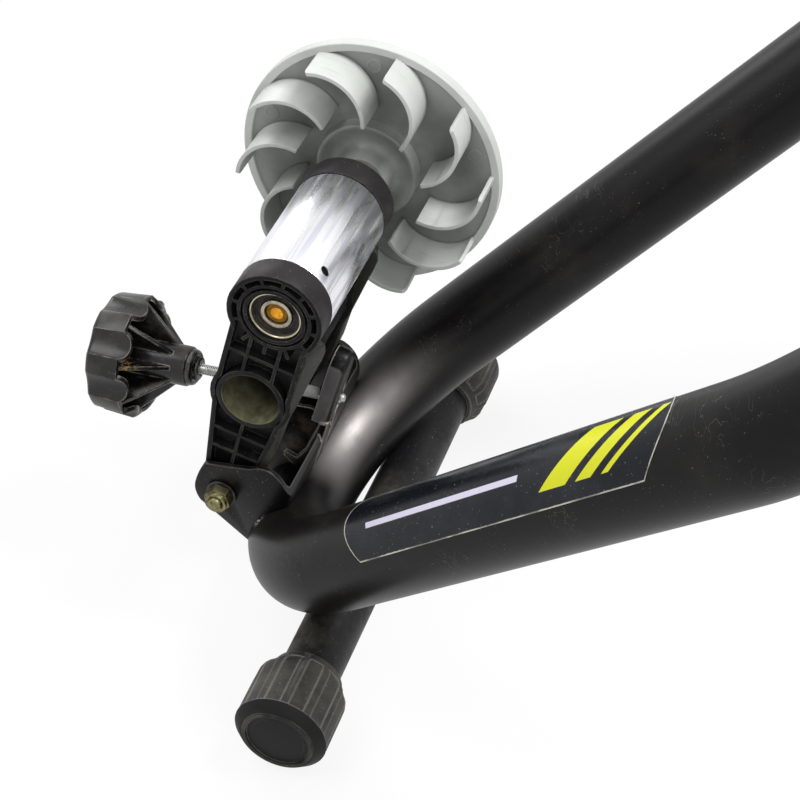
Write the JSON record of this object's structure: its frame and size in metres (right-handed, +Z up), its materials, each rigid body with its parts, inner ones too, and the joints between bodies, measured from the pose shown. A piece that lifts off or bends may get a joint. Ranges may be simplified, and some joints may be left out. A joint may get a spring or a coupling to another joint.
{
  "type": "fan bicycle turbo trainer",
  "caption": "Folding indoor bicycle trainer stand with axle clamps and a fan-braked roller on a hinged yoke that a screw knob presses to the rear tyre.",
  "frame": {"origin": "on the floor under the middle of the overall length and width", "axes": "+X to the right of a rider, +Y forward towards the bicycle, +Z up; millimetre source, metre row"},
  "size_m": [0.4808, 0.8268, 0.3931],
  "materials": {
    "black_paint": "satin black paint, worn",
    "crosstube_paint": "matte black paint",
    "foot_rubber": "ribbed black rubber",
    "black_moulding": "moulded satin black",
    "knob_moulding": "moulded black with a dull shine",
    "roller_metal": "turned and polished",
    "fan_moulding": "moulded light grey satin",
    "zinc_plate": "yellow zinc plate",
    "bright_steel": "plain turned steel",
    "shaft_steel": "steel with an amber oil film"
  },
  "bodies": {
    "frame": {"main_frame": "black_paint", "rear_crosstube": "crosstube_paint", "rear_foot_right": "foot_rubber", "rear_foot_left": "foot_rubber", "arm_plug_right": "black_moulding", "arm_plug_left": "black_moulding", "leg_bolt_right": "zinc_plate", "leg_bolt_left": "zinc_plate", "leg_nut_right": "zinc_plate", "leg_nut_left": "zinc_plate", "leg_washer_right": "bright_steel", "leg_washer_left": "bright_steel", "leg_stop_right": "bright_steel", "leg_stop_left": "bright_steel", "clamp_sleeve_right": "black_paint", "clamp_housing_left": "black_paint", "lever_pin": "bright_steel", "unit_bracket": "black_paint", "pivot_bolt": "zinc_plate", "pivot_nut": "zinc_plate", "pivot_washer_right": "zinc_plate", "pivot_washer_left": "zinc_plate", "pivot_sleeve": "bright_steel", "rod_nut": "bright_steel"},
    "unit": {"yoke": "black_moulding", "bearing_outer_right": "bright_steel", "bearing_outer_left": "bright_steel"},
    "rotor": {"bearing_inner_right": "bright_steel", "bearing_inner_left": "bright_steel", "roller": "roller_metal", "roller_set_screw": "bright_steel", "roller_shaft": "shaft_steel", "fan": "fan_moulding", "fan_washer": "zinc_plate", "fan_nut": "zinc_plate"},
    "knob_washer": {"knob_washer": "bright_steel"},
    "knob": {"tension_knob": "knob_moulding", "threaded_rod": "bright_steel"},
    "leg": {"front_leg": "black_paint", "front_foot_right": "foot_rubber", "front_foot_left": "foot_rubber"},
    "lever": {"clamp_lever": "bright_steel", "lever_grip": "black_moulding"},
    "cup_left": {"axle_cup_left": "bright_steel"},
    "cup_right": {"axle_cup_right": "bright_steel"},
    "adjuster": {"adjust_screw": "bright_steel", "adjust_handle": "black_moulding"}
  },
  "joints": [
    {"name": "unit_tilt", "type": "hinge", "parent": "frame", "child": "unit", "pos_m": [-0.00005, -0.32204, 0.08729], "axis": [1, 0, 0], "range_deg": [0, 30]},
    {"name": "rotor_spin", "type": "hinge", "parent": "unit", "child": "rotor", "pos_m": [-0.00005, -0.2804, 0.20823], "axis": [1, 0, 0], "continuous": true},
    {"name": "knob_travel", "type": "slide", "parent": "frame", "child": "knob_washer", "axis": [0, 0.9987, -0.0506], "range_m": [0, 0.018]},
    {"name": "knob_turn", "type": "hinge", "parent": "knob_washer", "child": "knob", "pos_m": [-0.00005, -0.35631, 0.12087], "axis": [0, 0.9987, -0.0506], "range_deg": [0, 6480]},
    {"name": "leg_fold", "type": "hinge", "parent": "frame", "child": "leg", "pos_m": [-0.00005, 0.01401, 0.31469], "axis": [1, 0, 0], "range_deg": [-101, 0]},
    {"name": "lever_turn", "type": "hinge", "parent": "frame", "child": "lever", "pos_m": [-0.22705, 0.054, 0.34946], "axis": [0, 0.7547, 0.6561], "range_deg": [0, 150]},
    {"name": "cup_left_slide", "type": "slide", "parent": "frame", "child": "cup_left", "axis": [-1, 0, 0], "range_m": [0, 0.0075]},
    {"name": "cup_right_slide", "type": "slide", "parent": "frame", "child": "cup_right", "axis": [-1, 0, 0], "range_m": [-0.03, 0.015]},
    {"name": "adjuster_turn", "type": "hinge", "parent": "cup_right", "child": "adjuster", "pos_m": [0.1, 0.054, 0.34946], "axis": [-1, 0, 0], "range_deg": [-5400, 2700]}
  ],
  "couplings": [
    {"joint": "knob_travel", "follows": "knob_turn", "m_per_rad": 0.00015915},
    {"joint": "cup_left_slide", "follows": "lever_turn", "m_per_rad": 0.00284},
    {"joint": "cup_right_slide", "follows": "adjuster_turn", "m_per_rad": 0.00031831}
  ]
}
